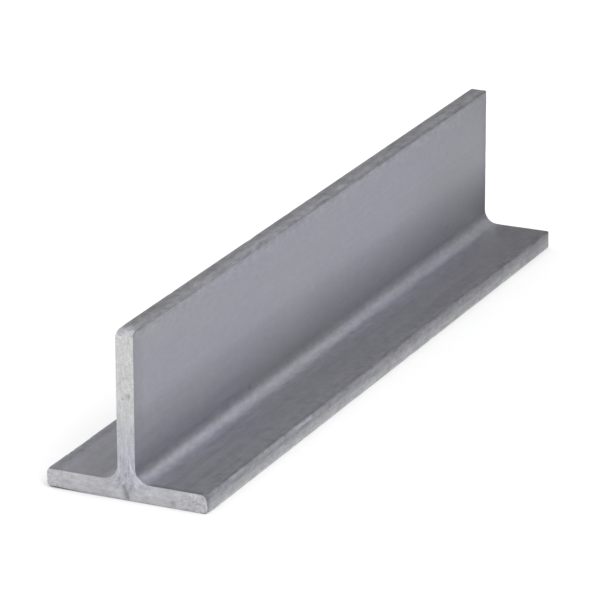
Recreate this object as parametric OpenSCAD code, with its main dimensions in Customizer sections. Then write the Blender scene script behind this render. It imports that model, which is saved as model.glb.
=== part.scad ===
// Aluminium tee bar: one extruded length with an equal-leg T section, sawn
// square at both ends. It stands on the underside of its flange with the
// stem upright.
//
// Frame: +Z is up along the stem, +Y runs along the bar, and the origin is
// the middle of the flange's underside.

/* [Section] */
// Width of the flange, tip to tip
flange_w = 57.15; // [30:0.05:120]
// Height of the section, from the flange's underside to the top of the stem
section_h = 57.15; // [30:0.05:120]
// Thickness of the flange
flange_t = 6.35; // [3:0.05:10]
// Thickness of the stem
stem_t = 6.35; // [3:0.05:10]

/* [Corners] */
// Radius of the two root fillets, between the stem and the flange
root_r = 5; // [1:0.05:8]
// Radius of the flange's tip corners, two on each tip
tip_r = 0.6; // [0.2:0.05:1.2]
// Radius of the two corners along the top of the stem
stem_top_r = 0.7; // [0.2:0.05:1.2]

/* [Length] */
// Sawn length of the bar
bar_l = 285; // [50:1:3000]

/* [Hidden] */
mill_finish = [0.60, 0.60, 0.63];
arc_fn = 96;
lap = 1; // depth to which the stem is let into the flange before they fuse

// Rectangle w by h standing on the X axis and centred on the Y axis, with
// its lower corners rounded to r0 and its upper corners to r1. A radius of 0
// leaves that pair of corners square.
module bar_outline(w, h, r0, r1) {
    difference() {
        translate([-w / 2, 0]) square([w, h]);
        if (r0 > 0)
            for (s = [-1, 1]) spandrel(s * w / 2, 0, -s, 1, r0);
        if (r1 > 0)
            for (s = [-1, 1]) spandrel(s * w / 2, h, -s, -1, r1);
    }
}

// The sliver between a square corner at (x, y) and an arc of radius r tangent
// to both of its sides. sx and sy point from the corner towards the arc's
// centre.
module spandrel(x, y, sx, sy, r) {
    difference() {
        translate([min(x, x + sx * r), min(y, y + sy * r)]) square(r);
        translate([x + sx * r, y + sy * r]) circle(r = r, $fn = arc_fn);
    }
}

// The whole T: flange, stem, and a tangent fillet on each side of the root
module tee_section() {
    union() {
        bar_outline(flange_w, flange_t, tip_r, tip_r);
        translate([0, flange_t - lap])
            bar_outline(stem_t, section_h - flange_t + lap, 0, stem_top_r);
        for (s = [-1, 1])
            spandrel(s * stem_t / 2, flange_t, s, 1, root_r);
    }
}

module tee_bar() {
    color(mill_finish)
        translate([0, bar_l / 2, 0])
            rotate([90, 0, 0])
                linear_extrude(height = bar_l) tee_section();
}

tee_bar();
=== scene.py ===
import math

import bpy
import numpy as np
from mathutils import Matrix, Vector, noise
from mathutils.geometry import delaunay_2d_cdt


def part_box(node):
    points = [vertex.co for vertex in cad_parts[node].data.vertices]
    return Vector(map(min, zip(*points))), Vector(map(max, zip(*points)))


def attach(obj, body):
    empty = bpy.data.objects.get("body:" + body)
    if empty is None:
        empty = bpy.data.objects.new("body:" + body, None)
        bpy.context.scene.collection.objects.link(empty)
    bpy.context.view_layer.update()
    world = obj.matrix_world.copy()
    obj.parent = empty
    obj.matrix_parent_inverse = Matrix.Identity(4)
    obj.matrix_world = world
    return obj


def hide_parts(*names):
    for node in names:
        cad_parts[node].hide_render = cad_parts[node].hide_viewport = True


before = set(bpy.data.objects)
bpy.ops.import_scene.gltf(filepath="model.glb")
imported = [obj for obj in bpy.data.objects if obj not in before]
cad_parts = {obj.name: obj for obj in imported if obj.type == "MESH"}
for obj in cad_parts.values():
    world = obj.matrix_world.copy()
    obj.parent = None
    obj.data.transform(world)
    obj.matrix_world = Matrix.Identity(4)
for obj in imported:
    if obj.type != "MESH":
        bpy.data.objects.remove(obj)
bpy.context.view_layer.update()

# ---------------------------------------------------------------------------
# Sizes, in metres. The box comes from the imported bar, the rest repeats its
# section.
# ---------------------------------------------------------------------------
LO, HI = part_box("tee_bar")
HALF_W = (HI.x - LO.x) / 2
HEIGHT = HI.z
HALF_L = (HI.y - LO.y) / 2
WALL = 0.00635
HALF_STEM = WALL / 2
ROOT_R = 0.005
TIP_R = 0.0006
TOP_R = 0.0007
MM = 0.001

rng = np.random.default_rng(7)

# base colours, linear
MILL_COOL, MILL_WARM = (0.333, 0.334, 0.382), (0.341, 0.342, 0.377)
MILL_PLAIN = (0.342, 0.343, 0.357)
MILL_ROUGH = 0.50
# the third sawn colour is painted shade, for the lower sawn faces
SAWN_A, SAWN_B, SAWN_SHADE_COLOUR = (0.552, 0.554, 0.568), (0.568, 0.571, 0.557), (0.475, 0.474, 0.495)
SAWN_FAN = (0.458, 0.459, 0.528)


def smooth(a, b, x):
    t = np.clip((x - a) / (b - a), 0.0, 1.0)
    return t * t * (3 - 2 * t)


def field(points, scale, seed, octaves=3):
    """Smooth noise, about -1 to 1, at each of the points (n, 3)."""
    off = Vector((seed * 17.31, seed * 5.77, seed * 29.13))
    s = scale
    out = np.empty(len(points))
    for i, p in enumerate(points):
        q = Vector((p[0] * s[0], p[1] * s[1], p[2] * s[2])) + off
        v, amp, tot = 0.0, 1.0, 0.0
        for _ in range(octaves):
            v += amp * noise.noise(q)
            tot += amp
            amp *= 0.5
            q = q * 2.03
        out[i] = v / tot
    return out * 1.6


# ---------------------------------------------------------------------------
# The section: one closed outline, anticlockwise, seen from the near end with
# X to the right and Z up
# ---------------------------------------------------------------------------
def graded(length, fine, coarse, grow=1.5):
    """Offsets from 0 to length, closest together at both ends."""
    steps, d, x = [], fine, 0.0
    half = []
    while x < length / 2:
        half.append(x)
        x += d
        d = min(d * grow, coarse)
    half = np.array(half)
    gap = length / 2 - half[-1]
    if gap < coarse * 0.35 and len(half) > 2:
        half = half[:-1]
    left = half
    right = length - half[::-1]
    return np.concatenate([left, right])


def outline():
    pts = []  # x, z, nx, nz, convex (1 on a rounded corner), side

    def line(x0, z0, x1, z1, fine, coarse):
        dx, dz = x1 - x0, z1 - z0
        length = math.hypot(dx, dz)
        nx, nz = dz / length, -dx / length
        for o in graded(length, fine, coarse)[:-1]:
            t = o / length
            pts.append((x0 + dx * t, z0 + dz * t, nx, nz))

    def arc(cx, cz, r, a0, a1, n, inward=False):
        for i in range(n):
            a = math.radians(a0 + (a1 - a0) * i / n)
            c, s = math.cos(a), math.sin(a)
            k = -1 if inward else 1
            pts.append((cx + r * c, cz + r * s, k * c, k * s))

    f, W, H, t, s, R = 0.12 * MM, HALF_W, HEIGHT, WALL, HALF_STEM, ROOT_R
    line(-W + TIP_R, 0, W - TIP_R, 0, f, 2.6 * MM)
    arc(W - TIP_R, TIP_R, TIP_R, -90, 0, 5)
    line(W, TIP_R, W, t - TIP_R, f, 0.9 * MM)
    arc(W - TIP_R, t - TIP_R, TIP_R, 0, 90, 5)
    line(W - TIP_R, t, s + R, t, f, 1.8 * MM)
    arc(s + R, t + R, R, 270, 180, 18, inward=True)
    line(s, t + R, s, H - TOP_R, f, 2.2 * MM)
    arc(s - TOP_R, H - TOP_R, TOP_R, 0, 90, 5)
    line(s - TOP_R, H, -s + TOP_R, H, f, 0.9 * MM)
    arc(-s + TOP_R, H - TOP_R, TOP_R, 90, 180, 5)
    line(-s, H - TOP_R, -s, t + R, f, 2.2 * MM)
    arc(-s - R, t + R, R, 0, -90, 18, inward=True)
    line(-s - R, t, -W + TIP_R, t, f, 1.8 * MM)
    arc(-W + TIP_R, t - TIP_R, TIP_R, 90, 180, 5)
    line(-W, t - TIP_R, -W, TIP_R, f, 0.9 * MM)
    arc(-W + TIP_R, TIP_R, TIP_R, 180, 270, 5)
    return np.array(pts)


RING = outline()
N = len(RING)
# the six long convex edges, each where its two flat faces would meet
EDGES = np.array(
    [
        (HALF_W, 0), (HALF_W, WALL), (HALF_STEM, HEIGHT),
        (-HALF_STEM, HEIGHT), (-HALF_W, WALL), (-HALF_W, 0),
    ]
)
EDGE_OUT = np.array([(1, -1), (1, 1), (1, 1), (-1, 1), (-1, 1), (-1, -1)]) / math.sqrt(2)
ring_to_edge = np.linalg.norm(RING[:, None, :2] - EDGES[None], axis=2)  # N x 6


# ---------------------------------------------------------------------------
# How the metal was drawn over the sawn face: lines that run down the stem and
# turn out into the flange. psi is 0 along the middle line and the underside
# and 1 along the outer faces, and it is solved on one half of the section.
# ---------------------------------------------------------------------------
def flow_grid(step=0.25 * MM):
    nx, nz = int(round(12 * MM / step)) + 1, int(round(20 * MM / step)) + 1
    x = np.arange(nx) * step
    z = np.arange(nz) * step
    X, Z = np.meshgrid(x, z, indexing="ij")
    in_root = (X < HALF_STEM + ROOT_R) & (Z < WALL + ROOT_R)
    hollow = np.hypot(X - HALF_STEM - ROOT_R, Z - WALL - ROOT_R) < ROOT_R
    inside = (Z <= WALL) | (X <= HALF_STEM) | (in_root & ~hollow)
    psi = np.where(inside, np.minimum(X / HALF_STEM, 1) * (Z > WALL) + (Z <= WALL) * Z / WALL, 1.0)
    free = inside.copy()
    free[0, :] = False
    free[:, 0] = False
    free[-1, :] = False
    free[:, -1] = False
    psi[0, :] = 0
    psi[:, 0] = 0
    psi[-1, :] = np.minimum(z / WALL, 1)
    psi[:, -1] = np.minimum(x / HALF_STEM, 1)
    for _ in range(2500):
        mean = (psi[2:, 1:-1] + psi[:-2, 1:-1] + psi[1:-1, 2:] + psi[1:-1, :-2]) / 4
        core = psi[1:-1, 1:-1]
        core[free[1:-1, 1:-1]] = mean[free[1:-1, 1:-1]]
    return psi, step


PSI, PSI_STEP = flow_grid()


def flow(x, z):
    """psi at (x, z) for arrays in the section plane."""
    ax = np.abs(x)
    gi = np.clip(ax / PSI_STEP, 0, PSI.shape[0] - 1.001)
    gj = np.clip(z / PSI_STEP, 0, PSI.shape[1] - 1.001)
    i, j = gi.astype(int), gj.astype(int)
    fi, fj = gi - i, gj - j
    root = (
        PSI[i, j] * (1 - fi) * (1 - fj) + PSI[i + 1, j] * fi * (1 - fj)
        + PSI[i, j + 1] * (1 - fi) * fj + PSI[i + 1, j + 1] * fi * fj
    )
    out = np.where(z > 19.5 * MM, np.minimum(ax / HALF_STEM, 1), root)
    return np.where(ax > 11.5 * MM, np.minimum(z / WALL, 1), out)


# ---------------------------------------------------------------------------
# Damage: nicks along the long edges, a few dents on the faces, and the marks
# on the sawn end
# ---------------------------------------------------------------------------
NICKS = []  # edge, y, half length, depth
for e, count, deep in ((0, 9, 1.0), (1, 20, 1.0), (2, 9, 0.6), (3, 9, 0.6), (4, 16, 1.0), (5, 8, 1.0)):
    for _ in range(count):
        NICKS.append((e, rng.uniform(-HALF_L, HALF_L), rng.uniform(0.7, 2.6) * MM,
                      deep * rng.uniform(0.05, 0.22) * MM))
# the scuffed stretch near the front of the left tip
for y, a, d in ((-121.5, 1.2, 0.08), (-119.2, 1.8, 0.12), (-116.8, 1.1, 0.10), (-114.4, 1.6, 0.08)):
    NICKS.append((4, y * MM, a * MM, d * MM))
# the bruised front corners of the right tip and of the stem's top
for e, y, a, d in ((1, -142.2, 1.4, 0.85), (0, -141.6, 1.8, 0.40), (2, -142.0, 1.0, 0.26),
                   (3, -141.8, 1.3, 0.30), (4, -142.1, 1.0, 0.28), (5, -142.0, 1.6, 0.34)):
    NICKS.append((e, y * MM, a * MM, d * MM))

DENTS = []  # x, y, z, radius, depth: shallow dents on the faces
for _ in range(26):
    face = rng.integers(0, 5)
    y = rng.uniform(-HALF_L + 6 * MM, HALF_L - 6 * MM)
    if face < 2:
        p = ((1 if face == 0 else -1) * HALF_STEM, y, rng.uniform(16, 54) * MM)
    elif face < 4:
        p = ((1 if face == 2 else -1) * rng.uniform(11, 27) * MM, y, WALL)
    else:
        p = (rng.uniform(-25, 25) * MM, y, 0.0)
    DENTS.append((*p, rng.uniform(1.6, 4.0) * MM, rng.uniform(0.02, 0.06) * MM))


def inward(points, normals, ring_index):
    """How far each point of the long faces is pressed in, in metres."""
    depth = np.zeros(len(points))
    # broad waviness of the extruded faces
    depth += (0.5 + 0.5 * np.clip(field(points, (60, 14, 60), 3), -1, 1)) * 0.022 * MM
    # nicks roll the edge over
    for e, y0, a, d in NICKS:
        near = (np.abs(points[:, 1] - y0) < 2.2 * a)
        if not near.any():
            continue
        idx = np.nonzero(near)[0]
        along = np.exp(-(((points[idx, 1] - y0) / a) ** 2) * 1.4)
        reach = ring_to_edge[ring_index[idx], e]
        radial = 1 - smooth(0.0, 2.4 * d + 0.8 * MM, reach)
        depth[idx] += d * along * radial
    for x, y, z, r, d in DENTS:
        dist = np.sqrt((points[:, 0] - x) ** 2 + (points[:, 1] - y) ** 2 * 0.5 + (points[:, 2] - z) ** 2)
        depth += d * np.exp(-((dist / r) ** 2) * 2.2)
    return depth


# marks on the near sawn face, in the section plane: a dark slanting gouge at
# the root, a pit in the stem and one in the flange
GOUGE = ((-1.05 * MM, 4.6 * MM), (0.45 * MM, 0.6 * MM), 1.02 * MM, 0.30 * MM)
PITS = ((1.16 * MM, 35.5 * MM, 0.90 * MM, 0.26 * MM), (16.5 * MM, 1.75 * MM, 0.95 * MM, 0.28 * MM),
        (26.9 * MM, 4.9 * MM, 0.45 * MM, 0.16 * MM), (27.4 * MM, 2.4 * MM, 0.40 * MM, 0.16 * MM),
        (-0.81 * MM, 34.3 * MM, 0.42 * MM, 0.12 * MM), (-1.95 * MM, 56.1 * MM, 0.42 * MM, 0.10 * MM))


def face_marks(x, z):
    """(depth, darkness) of the marks at (x, z) on the near sawn face."""
    (x0, z0), (x1, z1), half, deep = GOUGE
    dx, dz = x1 - x0, z1 - z0
    t = np.clip(((x - x0) * dx + (z - z0) * dz) / (dx * dx + dz * dz), 0, 1)
    dist = np.hypot(x - x0 - t * dx, z - z0 - t * dz)
    width = half * (0.75 + 0.5 * np.sin(t * 3.0) ** 2)
    g = np.exp(-((dist / width) ** 2) * 1.3)
    depth, dark = deep * g, g
    for px, pz, r, d in PITS:
        p = np.exp(-(((x - px) ** 2 + (z - pz) ** 2) / r**2) * 1.2)
        depth = depth + d * p
        dark = np.maximum(dark, 0.8 * p)
    return depth, dark


def saw_relief(x, z, seed, marks):
    """Depth below the end plane, never negative, and the darkness of marks."""
    psi = flow(x, z)
    side = np.where(x >= 0, 1.0, -1.0)
    along = np.abs(x) - z
    pts = np.stack([psi * side * 7.5 + 0.0 * side, along * 30.0, np.full_like(x, seed * 3.1)], 1)
    a = field(pts, (1.0, 1.0, 1.0), seed + 11, octaves=3)
    broad = field(np.stack([x, z, np.full_like(x, 0.01 * seed)], 1), (180, 180, 180), seed + 23, 2)
    d = 0.035 * MM * (0.5 + 0.5 * np.clip(a, -1, 1)) + 0.03 * MM * (0.5 + 0.5 * np.clip(broad, -1, 1))
    dark = np.zeros_like(x)
    if marks:
        md, dark = face_marks(x, z)
        d = d + md
    return d, dark


# ---------------------------------------------------------------------------
# The mesh
# ---------------------------------------------------------------------------
def stations():
    """Y of every ring between the two edge breaks, closest near the ends."""
    start, first = 0.30 * MM, 0.22 * MM
    half, d, y = [], first, start
    while y < HALF_L:
        half.append(y)
        y += d
        d = min(d * 1.22, 0.95 * MM)
    half = np.array(half)
    back = HALF_L - half[half < HALF_L - 0.3 * MM]
    return np.concatenate([-back, [0.0], back[::-1]])


YS = stations()
BREAK = ((0.04 * MM, 0.10 * MM), (0.10 * MM, 0.035 * MM))  # (from the end plane, inset) between the face and the side

verts, wear, edge_rough = [], [], []


def ring_points(inset):
    return RING[:, :2] - RING[:, 2:] * inset


def cut_noise(sign):
    """Uneven width of the broken edge round each sawn face, in 0.6 to 1.6."""
    p = np.stack([RING[:, 0], RING[:, 1], np.full(N, 0.003 * sign)], 1)
    return 1.1 + 0.5 * np.clip(field(p, (420, 420, 420), 31 + sign, 2), -1, 1)


rows = []  # each row: (y array, xz array, kind) from the near face to the far face
near_w, far_w = cut_noise(-1), cut_noise(1)
for back_off, inset in ((0.0, 0.15 * MM),) + BREAK:
    rows.append((-HALF_L + back_off * near_w, RING[:, :2] - RING[:, 2:] * (inset * near_w)[:, None]))
for y in YS:
    rows.append((np.full(N, y), RING[:, :2].copy()))
for back_off, inset in tuple(reversed(BREAK)) + ((0.0, 0.15 * MM),):
    rows.append((HALF_L - back_off * far_w, RING[:, :2] - RING[:, 2:] * (inset * far_w)[:, None]))

M = len(rows)
P = np.zeros((M, N, 3))
for k, (y, xz) in enumerate(rows):
    P[k, :, 0], P[k, :, 1], P[k, :, 2] = xz[:, 0], y, xz[:, 1]
P = P.reshape(-1, 3)
ring_index = np.tile(np.arange(N), M)
NORMAL = np.tile(np.stack([RING[:, 2], np.zeros(N), RING[:, 3]], 1), (M, 1))
press = inward(P, NORMAL, ring_index)
P = P - NORMAL * press[:, None]

# the near cut's corners are worn: the stem's top is knocked down over its
# first 2 mm, and so is the left end of the underside
from_cut = P[:, 1] + HALF_L
uneven = 1 + 0.3 * np.clip(field(np.stack([P[:, 0], P[:, 1] * 0.3, P[:, 0] * 0], 1), (650, 650, 650), 41, 2), -1, 1)
knocked = 0.80 * MM * np.interp(from_cut, np.array([0, 0.3, 0.8, 1.6, 2.4]) * MM, [1, 0.84, 0.45, 0.12, 0])
P[:, 2] -= knocked * uneven * smooth(HEIGHT - 2.6 * MM, HEIGHT - 0.2 * MM, P[:, 2])
bruised = 0.65 * MM * np.interp(from_cut, np.array([0, 0.3, 0.8, 2.2]) * MM, [1, 0.62, 0.22, 0])
P[:, 2] += bruised * uneven * smooth(-11 * MM, -27.5 * MM, P[:, 0]) * (1 - smooth(0.1 * MM, 3.4 * MM, P[:, 2]))


def clear_of(points, loop, margin):
    """Which points lie inside the closed loop, farther than margin from it."""
    a, b = loop, np.roll(loop, -1, axis=0)
    out = np.zeros(len(points), dtype=bool)
    span = b - a
    length2 = np.maximum((span**2).sum(1), 1e-16)
    for i, p in enumerate(points):
        cross = (a[:, 1] > p[1]) != (b[:, 1] > p[1])
        dz = np.where(span[:, 1] == 0, 1e-16, span[:, 1])
        hits = cross & (p[0] < a[:, 0] + (p[1] - a[:, 1]) / dz * span[:, 0])
        if hits.sum() % 2:
            t = np.clip(((p - a) * span).sum(1) / length2, 0, 1)
            gap = a + span * t[:, None] - p
            out[i] = (gap**2).sum(1).min() > margin**2
    return out


# the two caps: the first and last ring, filled with a fine net of points
def cap_points(ring_xz, step):
    xs = np.arange(-HALF_W, HALF_W, step)
    zs = np.arange(0, HEIGHT, step * 0.866)
    grid = []
    for j, z in enumerate(zs):
        for x in xs:
            grid.append((x + (step / 2 if j % 2 else 0), z))
    g = np.array(grid) + rng.uniform(-0.12, 0.12, (len(grid), 2)) * step
    x, z = np.abs(g[:, 0]), g[:, 1]
    m = 0.45 * step + 0.25 * MM
    in_flange = (z > m) & (z < WALL - m) & (x < HALF_W - m)
    in_stem = (x < HALF_STEM - m) & (z < HEIGHT - m) & (z > m)
    in_root = (x < HALF_STEM + ROOT_R) & (z < WALL + ROOT_R) & (z > m) & (
        np.hypot(x - HALF_STEM - ROOT_R, z - WALL - ROOT_R) > ROOT_R + m
    )
    g = g[in_flange | in_stem | in_root]
    return g[clear_of(g, ring_xz, m * 0.8)]


CAP_STEP = 0.36 * MM
base_count = len(P)
all_verts = [P]
faces = []
cut_flags = []
attr_flow = np.zeros((base_count, 3))
attr_dark = np.zeros(base_count)
caps = []
for end, row in ((-1, 0), (1, M - 1)):
    ring_ids = np.arange(row * N, (row + 1) * N)
    ring_xz = P[ring_ids][:, [0, 2]]
    inner = cap_points(ring_xz, CAP_STEP)
    pts2 = np.concatenate([ring_xz, inner])
    vc, _, fc, vmap, _, _ = delaunay_2d_cdt(
        [Vector((float(a), float(b))) for a, b in pts2 * 1000.0],
        [],
        [list(range(N))],
        1,
        1e-7,
    )
    vc = np.array([(v.x, v.y) for v in vc]) / 1000.0
    ids = np.full(len(vc), -1)
    start = sum(len(a) for a in all_verts)
    new = []
    for i, src in enumerate(vmap):
        ring_src = [s for s in src if s < N]
        if ring_src:
            ids[i] = ring_ids[ring_src[0]]
        else:
            ids[i] = start + len(new)
            new.append(vc[i])
    new = np.array(new)
    depth, dark = saw_relief(new[:, 0], new[:, 1], 1 if end < 0 else 2, end < 0)
    # the relief moves only the inner points, and the ring stays on the end plane
    cap = np.stack([new[:, 0], end * (HALF_L - depth), new[:, 1]], 1)
    all_verts.append(cap)
    if end < 0:
        # dark grains along the knocked-down top and the bruised underside
        grain = 0.5 + 0.5 * np.clip(field(np.stack([new[:, 0], new[:, 1], new[:, 0] * 0], 1), (800, 800, 800), 53, 2), -1, 1)
        top = ring_xz[:, 1].max()
        dark = np.maximum(dark, 0.85 * grain * np.exp(-(((new[:, 1] - top + 0.35 * MM) / (0.45 * MM)) ** 2)))
        under = 0.65 * MM * smooth(-11 * MM, -27.5 * MM, new[:, 0])
        strip = np.exp(-(((new[:, 1] - under - 0.4 * MM) / (0.5 * MM)) ** 2)) * smooth(-3 * MM, -9 * MM, new[:, 0])
        dark = np.maximum(dark, 0.65 * grain * strip)
    psi = flow(new[:, 0], new[:, 1])
    attr_flow = np.concatenate([attr_flow, np.stack([psi * np.sign(new[:, 0]), (np.abs(new[:, 0]) - new[:, 1]), new[:, 1]], 1)])
    attr_dark = np.concatenate([attr_dark, dark])
    for f in fc:
        tri = [int(ids[v]) for v in f]
        a, b, c = (vc[v] for v in f)
        area = (b[0] - a[0]) * (c[1] - a[1]) - (b[1] - a[1]) * (c[0] - a[0])
        # seen from -Y, X to the right and Z up is anticlockwise for the near end
        if (area > 0) != (end < 0):
            tri = tri[::-1]
        caps.append(tri)

V = np.concatenate(all_verts)
# ring vertices of the two faces carry the flow too
for row in (0, 1, M - 2, M - 1):
    ids = np.arange(row * N, (row + 1) * N)
    x, z = V[ids, 0], V[ids, 2]
    attr_flow[ids] = np.stack([flow(x, z) * np.sign(x), np.abs(x) - z, z], 1)
    if row < 2:
        attr_dark[ids] = face_marks(x, z)[1]

side = []
for k in range(M - 1):
    a = np.arange(N) + k * N
    b = np.roll(np.arange(N), -1) + k * N
    c, d = b + N, a + N
    side.append(np.stack([a, b, c, d], 1))
side = np.concatenate(side)

mesh = bpy.data.meshes.new("tee_bar_metal")
mesh.from_pydata(V.tolist(), [], side.tolist() + caps)
mesh.validate(verbose=False)
print("triangles", sum(len(p.vertices) - 2 for p in mesh.polygons))

bar = bpy.data.objects.new("tee_bar_metal", mesh)
bpy.context.scene.collection.objects.link(bar)

# which faces are sawn: the caps, and the outermost strip of the edge break
n_side = len(side)
slot_of = np.zeros(len(mesh.polygons), dtype=np.int32)
slot_of[n_side:] = 1
slot_of[: 2 * N] = 1
slot_of[n_side - 2 * N : n_side] = 1
mesh.polygons.foreach_set("material_index", slot_of)
mesh.polygons.foreach_set("use_smooth", np.ones(len(mesh.polygons), dtype=bool))

# the corner between the sawn face and its broken edge stays crisp
crisp = set()
for row in (0, 2, M - 3, M - 1):
    for i in range(N):
        crisp.add((min(row * N + i, row * N + (i + 1) % N), max(row * N + i, row * N + (i + 1) % N)))
sharp = np.zeros(len(mesh.edges), dtype=bool)
pairs = np.empty(len(mesh.edges) * 2, dtype=np.int32)
mesh.edges.foreach_get("vertices", pairs)
for i, (a, b) in enumerate(pairs.reshape(-1, 2)):
    if (min(a, b), max(a, b)) in crisp:
        sharp[i] = True
at = mesh.attributes.new("sharp_edge", "BOOLEAN", "EDGE")
at.data.foreach_set("value", sharp)

# ---------------------------------------------------------------------------
# Values stored on the mesh; the materials read most of them
# ---------------------------------------------------------------------------
# tone of the skin round the section, painted light and shade: the skin is painted lighter low on the tips and along the
# flange side of each root, and darker along the long edges and under the stem
SIDE_PAINTED_SHADING = ((11.5, 0.91), (14, 0.935), (17, 0.955), (23, 1.00), (27, 1.03), (31, 1.105), (39, 1.105), (43, 1.07),
             (52, 1.055), (54, 1.075), (54.9, 1.06), (55.5, 1.04), (56.1, 1.0), (56.6, 0.97), (57.1, 0.84))
ROOT_PAINTED_SHADING = ((0, 1.26), (10, 1.22), (20, 1.14), (30, 1.05), (40, 1.04), (50, 0.96), (60, 0.81), (70, 0.77), (80, 0.79), (90, 0.90))
LEDGE_PAINTED_SHADING = ((8.1, 1.25), (9, 1.18), (10, 1.09), (11, 1.03), (12.5, 1.0), (15, 0.98), (18, 0.93), (24, 0.925),
              (26, 0.89), (27, 0.84), (27.6, 0.80), (28.3, 0.74))
LEFT_PAINTED_SHADING = ((8.2, 1.10), (11, 0.99), (14, 1.01), (20, 1.05), (23, 1.07), (25, 0.97), (26, 0.91), (27, 0.97), (28.3, 1.10))
TIP_PAINTED_SHADING = ((0.0, 1.08), (0.6, 1.46), (1.1, 1.18), (1.6, 1.07), (2.7, 1.07), (3.2, 1.045), (3.7, 0.92), (4.2, 0.82),
            (5.2, 0.815), (5.8, 0.83), (6.35, 0.76))
TOP_PAINTED_SHADING = ((-3.1, 0.68), (-2.7, 0.72), (-2.2, 0.98), (-1.8, 0.93), (-1.4, 0.81), (-1.0, 0.84), (-0.5, 0.89), (0.0, 0.94),
            (0.5, 0.98), (0.95, 1.03), (1.4, 1.07), (1.9, 1.06), (2.3, 0.97), (2.7, 0.84), (3.1, 0.77))


def by_table(values, table):
    a = np.array(table)
    return np.interp(values, a[:, 0] * MM, a[:, 1])


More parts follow.
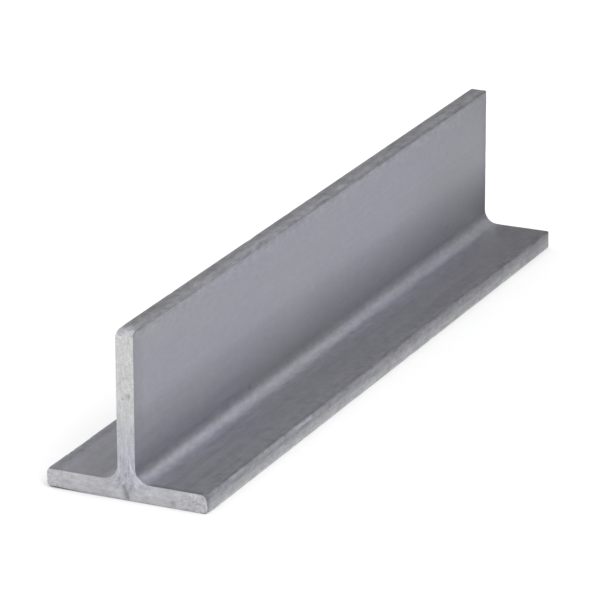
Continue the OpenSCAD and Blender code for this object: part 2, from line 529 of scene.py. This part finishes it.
def skin():
    """Tone (mostly painted light and shade, with some wear), neutral tint, bare metal and blotchiness of the extruded
    skin, for every ring vertex.
    """
    x, z = RING[:, 0], RING[:, 1]
    ax = np.abs(x)
    on_tip = (ax > HALF_W - TIP_R * 0.7) & (z < WALL)
    on_ledge = ~on_tip & (z > WALL - TIP_R) & (ax > HALF_STEM + ROOT_R) & (z < WALL + 0.01 * MM)
    on_root = (ax < HALF_STEM + ROOT_R) & (z > WALL - 0.01 * MM) & (z < WALL + ROOT_R)
    on_top = (z > HEIGHT - TOP_R * 0.7) & (ax < HALF_STEM)
    on_side = ~on_top & (z >= WALL + ROOT_R)
    turn = np.degrees(np.arctan2(HALF_STEM + ROOT_R - ax, np.maximum(WALL + ROOT_R - z, 1e-9)))
    tone = np.ones(N)
    # painted light and shade on each face, from the tables above
    tone = np.where(on_ledge, np.where(x > 0, by_table(ax, LEDGE_PAINTED_SHADING), by_table(ax, LEFT_PAINTED_SHADING)), tone)
    tone = np.where(on_root, by_table(turn * MM, ROOT_PAINTED_SHADING), tone)
    tone = np.where(on_side, by_table(z, SIDE_PAINTED_SHADING), tone)
    tone = np.where(on_top, by_table(x, TOP_PAINTED_SHADING), tone)
    tone = np.where(on_tip, by_table(z, TIP_PAINTED_SHADING), tone)
    # how blotchy the skin is: faint on the stem's sides, stronger on the fillets,
    # by the flange's edges, and most on the stem's top
    blotchy = np.full(N, 0.4)
    blotchy = np.where(on_ledge, np.interp(ax, np.array([9, 13, 17, 20, 24, 28]) * MM, [1.5, 0.9, 0.55, 0.7, 1.3, 2.0]), blotchy)
    blotchy = np.where(on_root, np.interp(turn, [0, 20, 45, 65, 90], [1.3, 1.4, 1.4, 1.4, 0.6]), blotchy)
    blotchy = np.where(on_side, np.interp(z, np.array([11, 14, 50, 53, 56.5]) * MM, [0.6, 0.45, 0.4, 0.9, 1.9]), blotchy)
    blotchy = np.where(on_top, 2.7, np.where(on_tip, 1.7, blotchy))
    tint = np.where(on_tip, np.interp(z, np.array([3.6, 4.6]) * MM, [1.0, 0.45]), 0.0) + np.where(on_top, 0.55, 0.0)
    tint = tint + np.where(on_ledge, np.where(x > 0, 0.25 + smooth(10 * MM, 15 * MM, ax) * 0.33, 0.3), 0.0)

    along = P[:, 1]
    tile = lambda a: np.tile(a, M)
    tone = tile(tone)
    # painted light along the bar: the tips are painted lighter towards the near end and darker towards the far end
    tone *= 1 + tile(on_tip * 1.0) * (0.07 - 0.15 * smooth(-70 * MM, 110 * MM, along) - 0.12 * smooth(112 * MM, 134 * MM, along))
    # painted light and shade along the bar: the stem's lower sides, the fillets' feet, the stem's top and the tips'
    # upper parts are painted lighter near the near end and darker towards the far end; the upper stem sides are painted
    # a little darker, and a band on the tips is painted lighter about the middle of the bar
    part = lambda lo, hi: smooth(lo * MM, hi * MM, along)
    low_side = np.where(on_side | on_root, np.exp(-(((z - 18.5 * MM) / (6.0 * MM)) ** 2)), 0.0)
    tone *= 1 + 0.085 * tile(low_side) * (1 - part(-62, 12))
    far_side = np.where(on_side | on_root, smooth(8.5 * MM, 10.5 * MM, z) * (1 - smooth(33 * MM, 46 * MM, z)), 0.0)
    tone *= 1 - 0.075 * tile(far_side) * np.exp(-(((along - 101 * MM) / (28 * MM)) ** 2))
    upper = np.interp(z, np.array([33, 38, 47, 51, 54, 56]) * MM, [0, 0.022, 0.018, 0.034, 0.028, 0])
    tone *= 1 - tile(np.where(on_side, upper, 0.0))
    foot = np.interp(x, np.array([6.2, 7, 7.8, 9, 12, 14, 17]) * MM, [0, 0.05, 0.05, 0.015, 0.02, 0.055, 0])
    tone *= 1 + tile(np.where(on_ledge | on_root, foot, 0.0)) * (1 - part(-40, 5))
    top_right = tile(np.where(on_top, smooth(0.3 * MM, 1.3 * MM, x), 0.0))
    tone *= 1 + top_right * (0.075 * (part(-134, -120) - part(-50, 0)) - 0.085 * part(15, 60))
    tone *= 1 + 0.10 * tile(np.where(on_tip, np.exp(-(((z - 2.6 * MM) / (0.7 * MM)) ** 2)), 0.0)) * np.exp(-(((along - 28 * MM) / (48 * MM)) ** 2))
    tip_top = tile(np.where(on_tip, smooth(4.8 * MM, 5.4 * MM, z), 0.0))
    tone *= 1 + tip_top * (0.08 * (part(-130, -115) - part(-60, -40)) - 0.09 * part(45, 66))
    # a dark line just behind the near cut, strongest on the right of the flange
    line = np.exp(-(((along + HALF_L - 0.9 * MM) / (1.0 * MM)) ** 2))
    right_flange = tile((x > HALF_STEM + ROOT_R) & (z <= WALL) & (z > 0.1 * MM))
    tone *= 1 - line * np.where(right_flange, 0.24, 0.05)
    # the stem's sides are a little dimmer by both cuts
    tone *= 1 - 0.065 * smooth(-134 * MM, -139 * MM, along) * tile(smooth(18 * MM, 26 * MM, z) * (z < 56 * MM))
    tone *= 1 - 0.11 * np.exp(-(((HALF_L - along) / (2.6 * MM)) ** 2)) * tile((z > 16 * MM) & (z < 53 * MM))
    # the stem's top is worn bright at the near cut
    worn = np.interp(along + HALF_L, np.array([0, 1.0, 2.2, 3.5, 4.5, 6.5]) * MM, [0.40, 0.78, 1.10, 0.85, 0.42, 0])
    worn = worn * tile(on_top & (ax < HALF_STEM - 0.4 * MM))
    tone *= 1 + 0.62 * worn
    # bright burrs left on the right tip's upper corner: worn metal, with a painted highlight (glints) on it
    corner = tile((x > HALF_W - 0.36 * MM) & (z > WALL - 0.36 * MM) & (z < WALL + 0.1 * MM))
    for y0, half, gain in ((-122.5, 5.0, 0.22), (-60.5, 1.8, 0.25), (31.0, 2.2, 0.2)):
        tone *= 1 + gain * corner * np.exp(-(((along - y0 * MM) / (half * MM)) ** 4))
    # and one longer scrape in the tip itself, a bright line over a dark one
    scrape = tile(x > HALF_W - 0.1 * MM) * np.exp(-(((along + 70.5 * MM) / (5.5 * MM)) ** 4))
    for z0, half, gain in ((4.55, 0.42, -0.30), (3.4, 0.45, 0.09)):
        tone *= 1 + gain * scrape * np.exp(-(((tile(z) - z0 * MM) / (half * MM)) ** 2))
    # short bright stretches high on the right tip by the scrape: burred metal with painted glints on it
    broken = sum(np.exp(-(((along - y0 * MM) / (half * MM)) ** 2)) for y0, half in ((-75.2, 1.0), (-72.6, 1.2), (-70.3, 0.8), (-68.2, 0.9), (-65.9, 1.1)))
    tone *= 1 + 0.50 * tile(x > HALF_W - 0.3 * MM) * np.minimum(broken, 1) * np.exp(-(((tile(z) - 5.6 * MM) / (0.30 * MM)) ** 2))
    return tone, tile(tint), worn, tile(blotchy)


d_edge = np.min(np.linalg.norm(V[:, None, [0, 2]] - EDGES[None], axis=2), axis=1)
d_end = HALF_L - np.abs(V[:, 1])
near_edge = np.exp(-((d_edge / (2.0 * MM)) ** 2))
near_end = np.exp(-((d_end / (1.3 * MM)) ** 2))


def put(name, values):
    a = mesh.attributes.new(name, "FLOAT", "POINT")
    a.data.foreach_set("value", values.astype(np.float32))


put("near_edge", near_edge)
put("near_end", near_end)
put("pressed", np.concatenate([press, np.zeros(len(V) - base_count)]) / (0.25 * MM))
put("marked", attr_dark)
extra = len(V) - base_count
shade, neutral, bare, blotchy = skin()
put("shade", np.concatenate([shade, np.ones(extra)]))
put("neutral", np.concatenate([neutral, np.zeros(extra)]))
put("bare", np.concatenate([bare, np.zeros(extra)]))
put("blotchy", np.concatenate([blotchy, np.zeros(extra)]))
# two small scuffed patches on the left ledge
scuff = np.zeros(len(V))
for sx, sy, sz, r in ((-24.5, -118.8, 6.35, 3.4), (-12.0, -136.5, 6.35, 2.0)):
    away = np.linalg.norm(V * (1, 0.7, 1) - np.array((sx, sy * 0.7, sz)) * MM, axis=1)
    scuff = np.maximum(scuff, np.exp(-((away / (r * MM)) ** 2)))
put("scuff", scuff)
put("tip", np.concatenate([np.tile((np.abs(RING[:, 0]) > HALF_W - TIP_R) & (RING[:, 1] > 0.05 * MM), M) * 1.0, np.zeros(extra)]))
# on the sawn faces: the fan of lines where the stem runs out into the flange,
# and the coarser patches near the tips and at the top of the stem
put("fan", np.exp(-((V[:, 0] / (7 * MM)) ** 2)) * smooth(2.0 * MM, 5.0 * MM, V[:, 2]) * smooth(19 * MM, 12 * MM, V[:, 2]))
put("blue", np.exp(-((V[:, 0] / (7 * MM)) ** 2)) * smooth(2.0 * MM, 5.0 * MM, V[:, 2]) * smooth(31 * MM, 12 * MM, V[:, 2]))
put("coarse", np.maximum.reduce([
    smooth(16 * MM, 23 * MM, V[:, 0]), 0.6 * smooth(-16 * MM, -23 * MM, V[:, 0]), 0.8 * smooth(52 * MM, 55.5 * MM, V[:, 2]),
    0.5 * smooth(24 * MM, 34 * MM, V[:, 2])]))
# painted shade: the sawn faces are painted darker in the flange and the lower half of the stem
put("sawn_low_shade", 1 - smooth(14 * MM, 40 * MM, V[:, 2] - np.maximum(0, np.abs(V[:, 0]) - HALF_STEM) * 0.2))
a = mesh.attributes.new("flow", "FLOAT_VECTOR", "POINT")
a.data.foreach_set("vector", attr_flow.astype(np.float32).ravel())
mesh.update()


# ---------------------------------------------------------------------------
# Materials
# ---------------------------------------------------------------------------
class Nodes:
    def __init__(self, name):
        self.mat = bpy.data.materials.new(name)
        self.mat.use_nodes = True
        self.t = self.mat.node_tree
        self.t.nodes.clear()
        self.out = self.t.nodes.new("ShaderNodeOutputMaterial")
        self.p = self.t.nodes.new("ShaderNodeBsdfPrincipled")
        self.t.links.new(self.p.outputs[0], self.out.inputs["Surface"])
        self.coords = self.t.nodes.new("ShaderNodeTexCoord").outputs["Object"]

    def link(self, a, b):
        self.t.links.new(a, b)

    def attr(self, name, vector=False):
        n = self.t.nodes.new("ShaderNodeAttribute")
        n.attribute_type = "GEOMETRY"
        n.attribute_name = name
        return n.outputs["Vector" if vector else "Fac"]

    def scaled(self, vector, scale, offset=(0, 0, 0)):
        n = self.t.nodes.new("ShaderNodeMapping")
        n.inputs["Scale"].default_value = scale
        n.inputs["Location"].default_value = offset
        self.link(vector, n.inputs["Vector"])
        return n.outputs[0]

    def noise(self, vector, scale, detail=3.0, rough=0.55, distort=0.0):
        n = self.t.nodes.new("ShaderNodeTexNoise")
        n.inputs["Scale"].default_value = scale
        n.inputs["Detail"].default_value = detail
        n.inputs["Roughness"].default_value = rough
        n.inputs["Distortion"].default_value = distort
        self.link(vector, n.inputs["Vector"])
        return n.outputs["Fac"]

    def spots(self, vector, scale, randomness=1.0):
        n = self.t.nodes.new("ShaderNodeTexVoronoi")
        n.inputs["Scale"].default_value = scale
        n.inputs["Randomness"].default_value = randomness
        self.link(vector, n.inputs["Vector"])
        return n.outputs["Distance"]

    def span(self, value, a, b, c=0.0, d=1.0, smooth_step=False):
        n = self.t.nodes.new("ShaderNodeMapRange")
        n.interpolation_type = "SMOOTHSTEP" if smooth_step else "LINEAR"
        for i, v in enumerate((a, b, c, d), start=1):
            n.inputs[i].default_value = v
        self.link(value, n.inputs[0])
        return n.outputs[0]

    def math(self, op, a, b=None, c=None):
        n = self.t.nodes.new("ShaderNodeMath")
        n.operation = op
        for i, v in enumerate((a, b, c)):
            if v is None:
                continue
            if isinstance(v, (int, float)):
                n.inputs[i].default_value = v
            else:
                self.link(v, n.inputs[i])
        return n.outputs[0]

    def mix(self, fac, a, b, kind="MIX"):
        n = self.t.nodes.new("ShaderNodeMix")
        n.data_type = "RGBA"
        n.blend_type = kind
        n.clamp_factor = True
        for socket, v in ((n.inputs[0], fac), (n.inputs[6], a), (n.inputs[7], b)):
            if isinstance(v, (int, float)):
                socket.default_value = v
            elif isinstance(v, tuple):
                socket.default_value = (*v, 1.0)
            else:
                self.link(v, socket)
        return n.outputs[2]

    def grey(self, value):
        n = self.t.nodes.new("ShaderNodeCombineColor")
        for i in range(3):
            self.link(value, n.inputs[i])
        return n.outputs[0]

    def bump(self, height, distance, strength=1.0, normal=None):
        n = self.t.nodes.new("ShaderNodeBump")
        n.inputs["Strength"].default_value = strength
        n.inputs["Distance"].default_value = distance
        self.link(height, n.inputs["Height"])
        if normal is not None:
            self.link(normal, n.inputs["Normal"])
        return n.outputs[0]


def mill_finish():
    """The skin of the extrusion: dull grey metal with faint lines along the bar."""
    m = Nodes("mill_finish_aluminium")
    c = m.coords
    lines = m.noise(m.scaled(c, (1.0, 0.006, 1.0)), 2600.0, 2.0, 0.6)  # 0.4 mm wide, along Y
    bands = m.noise(m.scaled(c, (1.0, 0.02, 1.0), (0.3, 0.1, 0.2)), 320.0, 2.0, 0.5)  # 3 mm bands
    cloud = m.noise(m.scaled(c, (1.0, 0.45, 1.0), (0.7, 0.0, 0.4)), 42.0, 3.0, 0.5)  # 25 mm patches
    mottle = m.noise(m.scaled(c, (1.0, 0.6, 1.0)), 340.0, 3.0, 0.6)  # 3 mm mottling
    fine = m.noise(c, 5200.0, 2.0, 0.6)  # 0.2 mm grain
    grains = m.noise(c, 1500.0, 3.0, 0.65)  # 0.7 mm grains where the metal is worn or scuffed
    edge = m.attr("near_edge")
    shade = m.attr("shade")

    bare = m.attr("bare")

    colour = m.mix(m.span(cloud, 0.38, 0.64, smooth_step=True), MILL_COOL, MILL_WARM)
    colour = m.mix(m.attr("neutral"), colour, MILL_PLAIN)
    tone = m.math("ADD", m.span(lines, 0.3, 0.7, -0.020, 0.020), m.span(bands, 0.3, 0.7, -0.022, 0.022))
    tone = m.math("ADD", tone, m.span(mottle, 0.3, 0.7, -0.035, 0.035))
    tone = m.math("ADD", tone, m.span(fine, 0.3, 0.7, -0.02, 0.02))
    # blotches of about 1.5 by 4 mm, and broader ones
    blotch = m.noise(m.scaled(c, (1.0, 0.42, 1.0), (0.2, 0.5, 0.8)), 640.0, 3.0, 0.62)
    broad = m.noise(m.scaled(c, (1.0, 0.5, 1.0), (0.9, 0.3, 0.1)), 150.0, 2.0, 0.5)
    blots = m.math("ADD", m.span(blotch, 0.34, 0.66, -0.060, 0.060), m.span(broad, 0.34, 0.66, -0.018, 0.018))
    tone = m.math("ADD", tone, m.math("MULTIPLY", m.attr("blotchy"), blots))
    # dull, uneven rub along the long edges
    broken = m.noise(m.scaled(c, (1.0, 0.35, 1.0), (0.1, 0.9, 0.5)), 520.0, 4.0, 0.68)
    rub = m.math("MULTIPLY", edge, m.span(broken, 0.36, 0.66, smooth_step=True))
    tone = m.math("ADD", tone, m.math("MULTIPLY", edge, m.span(broken, 0.34, 0.68, -0.17, 0.14)))
    tone = m.math("ADD", tone, m.math("MULTIPLY", m.attr("scuff"), m.span(grains, 0.36, 0.64, -0.24, 0.20)))
    # the tips are scored along their length and a little mottled
    scores = m.noise(m.scaled(c, (1.0, 0.035, 1.0), (0.2, 0.6, 0.1)), 1500.0, 2.0, 0.6)
    patches = m.noise(m.scaled(c, (1.0, 0.8, 1.0)), 800.0, 2.0, 0.6)
    scored = m.math("ADD", m.span(scores, 0.32, 0.68, -0.11, 0.11), m.span(patches, 0.32, 0.68, -0.07, 0.07))
    tone = m.math("ADD", tone, m.math("MULTIPLY", m.attr("tip"), scored))
    tone = m.math("ADD", tone, m.math("MULTIPLY", bare, m.span(grains, 0.35, 0.62, -0.30, 0.16)))
    # the per-vertex shade holds mostly painted light and shade, with the wear, burrs and scrape
    tone = m.math("MULTIPLY", m.math("ADD", tone, 1.0), shade)
    # small dark specks, few and scattered
    speck = m.span(m.spots(m.scaled(c, (1.0, 0.8, 1.0)), 95.0), 0.05, 0.11, 1.0, 0.0, smooth_step=True)
    some = m.span(m.noise(c, 60.0, 1.0), 0.52, 0.60)
    tone = m.math("SUBTRACT", tone, m.math("MULTIPLY", m.math("MULTIPLY", speck, some), 0.10))
    colour = m.mix(1.0, colour, m.grey(tone), "MULTIPLY")
    m.link(colour, m.p.inputs["Base Color"])
    m.p.inputs["Metallic"].default_value = 1.0

    rough = m.math("ADD", m.span(bands, 0.3, 0.7, MILL_ROUGH - 0.03, MILL_ROUGH + 0.03), m.span(mottle, 0.3, 0.7, -0.03, 0.03))
    rough = m.math("ADD", rough, m.math("MULTIPLY", rub, 0.06))
    m.link(rough, m.p.inputs["Roughness"])
    h = m.math("ADD", m.math("MULTIPLY", lines, 0.45), m.math("MULTIPLY", fine, 0.30))
    h = m.math("ADD", h, m.math("MULTIPLY", m.math("MULTIPLY", edge, broken), 1.4))
    m.link(m.bump(h, 0.012 * MM), m.p.inputs["Normal"])
    return m.mat


def sawn():
    """The sawn end: bright bare metal, faintly streaked down the stem and out along the flange."""
    m = Nodes("sawn_aluminium")
    f = m.attr("flow", vector=True)
    c = m.coords
    streak = m.noise(m.scaled(f, (4.2, 230.0, 60.0), (6.3, 2.2, 0.0)), 1.0, 3.0, 0.6)
    hair = m.noise(m.scaled(f, (13.0, 520.0, 140.0), (3.0, 1.0, 0.0)), 1.0, 2.0, 0.6)
    patch = m.noise(c, 190.0, 3.0, 0.6)
    mottle = m.noise(c, 1150.0, 3.0, 0.62)
    blots = m.noise(c, 760.0, 2.0, 0.5)
    grain = m.noise(c, 3600.0, 2.0, 0.6)
    mark = m.attr("marked")
    sawn_low_shade = m.attr("sawn_low_shade")

    colour = m.mix(m.span(patch, 0.36, 0.66, smooth_step=True), SAWN_A, SAWN_B)
    fan = m.attr("fan")
    coarse = m.attr("coarse")
    # painted shade: a darker sawn colour low on the face and out in the flange
    colour = m.mix(sawn_low_shade, colour, SAWN_SHADE_COLOUR)
    colour = m.mix(m.math("MULTIPLY", m.attr("blue"), 0.75), colour, SAWN_FAN)
    strength = m.math("MULTIPLY_ADD", fan, 0.17, 0.10)
    tone = m.math("MULTIPLY", m.span(streak, 0.3, 0.7, -1.0, 0.75), strength)
    tone = m.math("ADD", tone, m.math("MULTIPLY", m.span(hair, 0.3, 0.7, -0.5, 0.5), strength))
    tone = m.math("ADD", tone, m.span(grain, 0.3, 0.7, -0.035, 0.035))
    tone = m.math("ADD", tone, m.math("MULTIPLY", m.span(mottle, 0.3, 0.7, -1.0, 0.8), m.math("MULTIPLY_ADD", coarse, 0.10, 0.09)))
    tone = m.math("ADD", tone, m.math("MULTIPLY", m.span(blots, 0.3, 0.7, -1.0, 1.0), m.math("MULTIPLY", coarse, 0.13)))
    tone = m.math("ADD", tone, m.span(patch, 0.3, 0.7, 0.03, -0.04))
    tone = m.math("ADD", tone, 1.0)
    colour = m.mix(1.0, colour, m.grey(tone), "MULTIPLY")
    colour = m.mix(m.math("MULTIPLY", mark, 0.72), colour, (0.20, 0.20, 0.21))
    m.link(colour, m.p.inputs["Base Color"])
    m.p.inputs["Metallic"].default_value = 1.0
    m.link(m.span(streak, 0.3, 0.7, 0.50, 0.42), m.p.inputs["Roughness"])
    h = m.math("ADD", m.math("MULTIPLY", streak, 0.8), m.math("MULTIPLY", hair, 0.5))
    h = m.math("ADD", h, m.math("MULTIPLY", grain, 0.3))
    h = m.math("ADD", h, m.math("MULTIPLY", mottle, 0.5))
    m.link(m.bump(h, 0.03 * MM), m.p.inputs["Normal"])
    return m.mat


mesh.materials.append(mill_finish())
mesh.materials.append(sawn())

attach(bar, "root")
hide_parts("tee_bar")

# ---------------------------------------------------------------------------
# Floor, light and camera
# ---------------------------------------------------------------------------
me = bpy.data.meshes.new("studio_floor")
r_floor, rings = 2.1, 192
me.from_pydata(
    [(r_floor * math.cos(2 * math.pi * i / rings), r_floor * math.sin(2 * math.pi * i / rings), 0.0) for i in range(rings)],
    [],
    [list(range(rings))],
)
# sky levels by the sine of the elevation, then regions that are dimmer or
# brighter: direction, cosine where it begins and where it is full, and factor
SKY = ((0.0, 1.0), (0.026, 1.0), (0.05, 0.88), (0.22, 0.72), (0.50, 0.90), (1.0, 1.25))
REGIONS = (((-0.50, 0.78, 0.42), 0.70, 0.96, 0.55), ((0.24, 0.85, 0.47), 0.88, 0.98, 1.45))
# a dark band low down, on the side towards BAND_TOWARD
BAND_TOWARD, BAND = (0.50, 0.86, 0.0), (0.02, 0.05, 0.20, 0.30, 0.45, 0.80, 0.20)
floor = bpy.data.objects.new("studio_floor", me)
bpy.context.scene.collection.objects.link(floor)
floor.location.z = LO.z - 0.02 * MM
fm = Nodes("pale_floor")
tint = fm.noise(fm.coords, 3.0, 2.0)
fm.link(fm.mix(tint, (0.86, 0.86, 0.86), (0.88, 0.88, 0.88)), fm.p.inputs["Base Color"])
fm.p.inputs["Roughness"].default_value = 0.9
fm.p.inputs["Specular IOR Level"].default_value = 0.1
me.materials.append(fm.mat)

# grey cards past the far end, seen only in the bar's reflections: one carries
# its own shape on, the other stands upright across it. Together they keep the
# far end from shining brighter than the near one.
def card(name, points, quads, grey):
    data = bpy.data.meshes.new(name)
    data.from_pydata(points, [], quads)
    obj = bpy.data.objects.new(name, data)
    bpy.context.scene.collection.objects.link(obj)
    obj.visible_camera = obj.visible_diffuse = obj.visible_shadow = False
    m = Nodes(name)
    lighter, darker = tuple(g * 1.06 for g in grey), tuple(g * 0.94 for g in grey)
    m.link(m.mix(m.noise(m.coords, 40.0, 2.0), lighter, darker), m.p.inputs["Base Color"])
    m.p.inputs["Roughness"].default_value = 0.9
    m.p.inputs["Specular IOR Level"].default_value = 0.1
    data.materials.append(m.mat)


card(
    "card_along",
    [(HALF_STEM, HALF_L + y, z) for y in (8 * MM, 90 * MM) for z in (HEIGHT, WALL)],
    [(2, 3, 1, 0)],
    (0.155, 0.155, 0.160),
)
card(
    "card_below",
    [(x, HALF_L + y, z) for y in (2 * MM, 90 * MM) for x, z in ((HALF_STEM, WALL), (HALF_W, WALL), (HALF_W, 0.0))],
    [(3, 4, 1, 0), (4, 5, 2, 1)],
    (0.100, 0.100, 0.103),
)
card(
    "card_across",
    [(x, HALF_L + 0.12, z) for x, z in ((0.0, 0.0), (0.4, 0.0), (0.4, 0.2), (0.0, 0.2))],
    [(0, 1, 2, 3)],
    (0.54, 0.54, 0.54),
)
card(
    "card_left",
    [(x, HALF_L + 0.12, z) for x, z in ((-0.15, 0.0), (0.0, 0.0), (0.0, 0.2), (-0.15, 0.2))],
    [(0, 1, 2, 3)],
    (0.33, 0.33, 0.33),
)

world = bpy.data.worlds.new("studio")
bpy.context.scene.world = world
world.use_nodes = True
wt = world.node_tree
wt.nodes.clear()


def w_math(op, a, b=None, c=None):
    n = wt.nodes.new("ShaderNodeMath")
    n.operation = op
    for i, v in enumerate((a, b, c)):
        if v is None:
            continue
        if isinstance(v, (int, float)):
            n.inputs[i].default_value = v
        else:
            wt.links.new(v, n.inputs[i])
    return n.outputs[0]


def w_span(value, a, b, c, d):
    n = wt.nodes.new("ShaderNodeMapRange")
    n.interpolation_type = "SMOOTHSTEP"
    for i, v in enumerate((a, b, c, d), start=1):
        n.inputs[i].default_value = v
    wt.links.new(value, n.inputs[0])
    return n.outputs[0]


def w_toward(direction):
    """Cosine of the angle between a view direction and the one given."""
    n = wt.nodes.new("ShaderNodeVectorMath")
    n.operation = "DOT_PRODUCT"
    n.inputs[1].default_value = Vector(direction).normalized()
    wt.links.new(w_tc.outputs["Generated"], n.inputs[0])
    return n.outputs["Value"]


w_out = wt.nodes.new("ShaderNodeOutputWorld")
w_bg = wt.nodes.new("ShaderNodeBackground")
w_tc = wt.nodes.new("ShaderNodeTexCoord")
w_sep = wt.nodes.new("ShaderNodeSeparateXYZ")
w_ramp = wt.nodes.new("ShaderNodeValToRGB")
wt.links.new(w_tc.outputs["Generated"], w_sep.inputs[0])
wt.links.new(w_sep.outputs["Z"], w_ramp.inputs[0])
ramp = w_ramp.color_ramp
ramp.interpolation = "EASE"
stops = SKY
ramp.elements[0].position, ramp.elements[0].color = stops[0][0], (stops[0][1],) * 3 + (1,)
ramp.elements[1].position, ramp.elements[1].color = stops[-1][0], (stops[-1][1],) * 3 + (1,)
for pos, v in stops[1:-1]:
    e = ramp.elements.new(pos)
    e.color = (v, v, v, 1)
level = w_ramp.outputs[0]
up = w_sep.outputs["Z"]
raised = w_span(up, 0.025, 0.09, 0.0, 1.0)
for toward, wide, tight, factor in REGIONS:
    part = w_math("MULTIPLY", w_span(w_toward(toward), wide, tight, 0.0, factor - 1.0), raised)
    level = w_math("MULTIPLY", level, w_math("ADD", part, 1.0))
band = w_math("MULTIPLY", w_span(up, BAND[0], BAND[1], 0.0, 1.0), w_span(up, BAND[2], BAND[3], 1.0, 0.0))
band = w_math("MULTIPLY", band, w_span(w_toward(BAND_TOWARD), BAND[4], BAND[5], 0.0, 1.0))
level = w_math("MULTIPLY", level, w_math("MULTIPLY_ADD", band, BAND[6] - 1.0, 1.0))
wt.links.new(level, w_bg.inputs["Color"])
w_bg.inputs["Strength"].default_value = 1.0
wt.links.new(w_bg.outputs[0], w_out.inputs["Surface"])


def softbox(name, at, aim, size, power):
    data = bpy.data.lights.new(name, "AREA")
    data.shape = "SQUARE"
    data.size = size
    data.energy = power
    o = bpy.data.objects.new(name, data)
    bpy.context.scene.collection.objects.link(o)
    o.location = at
    o.rotation_euler = (Vector(aim) - Vector(at)).to_track_quat("-Z", "Y").to_euler()
    return o


softbox("overhead", (1.5, -0.7, 2.0), (0, 0, 0), 2.4, 30.0)
softbox("left", (-1.8, 0.2, 0.8), (0, 0, 0), 1.6, 10.0)

AZ, EL, ROLL = math.radians(25.1277), math.radians(19.6106), math.radians(-0.2039)
FOCAL_PX, DIST, SHIFT_R, SHIFT_U = 4597.70, 27.5501, 0.0905291, 0.0234712
unit = HEIGHT
back = Vector((math.sin(AZ) * math.cos(EL), -math.cos(AZ) * math.cos(EL), math.sin(EL)))
right = (-back).cross(Vector((0, 0, 1))).normalized()
up = right.cross(-back)
r2 = math.cos(ROLL) * right + math.sin(ROLL) * up
u2 = -math.sin(ROLL) * right + math.cos(ROLL) * up
place = Vector((0, 0, 0.4 * unit)) + back * DIST * unit - r2 * SHIFT_R * unit - u2 * SHIFT_U * unit
cam_data = bpy.data.cameras.new("camera")
cam_data.sensor_width = 36.0
cam_data.lens = FOCAL_PX * 36.0 / 600.0
cam_data.clip_start = 0.05
cam_data.clip_end = 60.0
cam = bpy.data.objects.new("camera", cam_data)
bpy.context.scene.collection.objects.link(cam)
turn = Matrix((r2, u2, back)).transposed().to_4x4()
cam.matrix_world = Matrix.Translation(place) @ turn
bpy.context.scene.camera = cam

view = bpy.context.scene.view_settings
view.view_transform = "Standard"
view.look = "None"
view.exposure = 0.0
view.gamma = 1.0
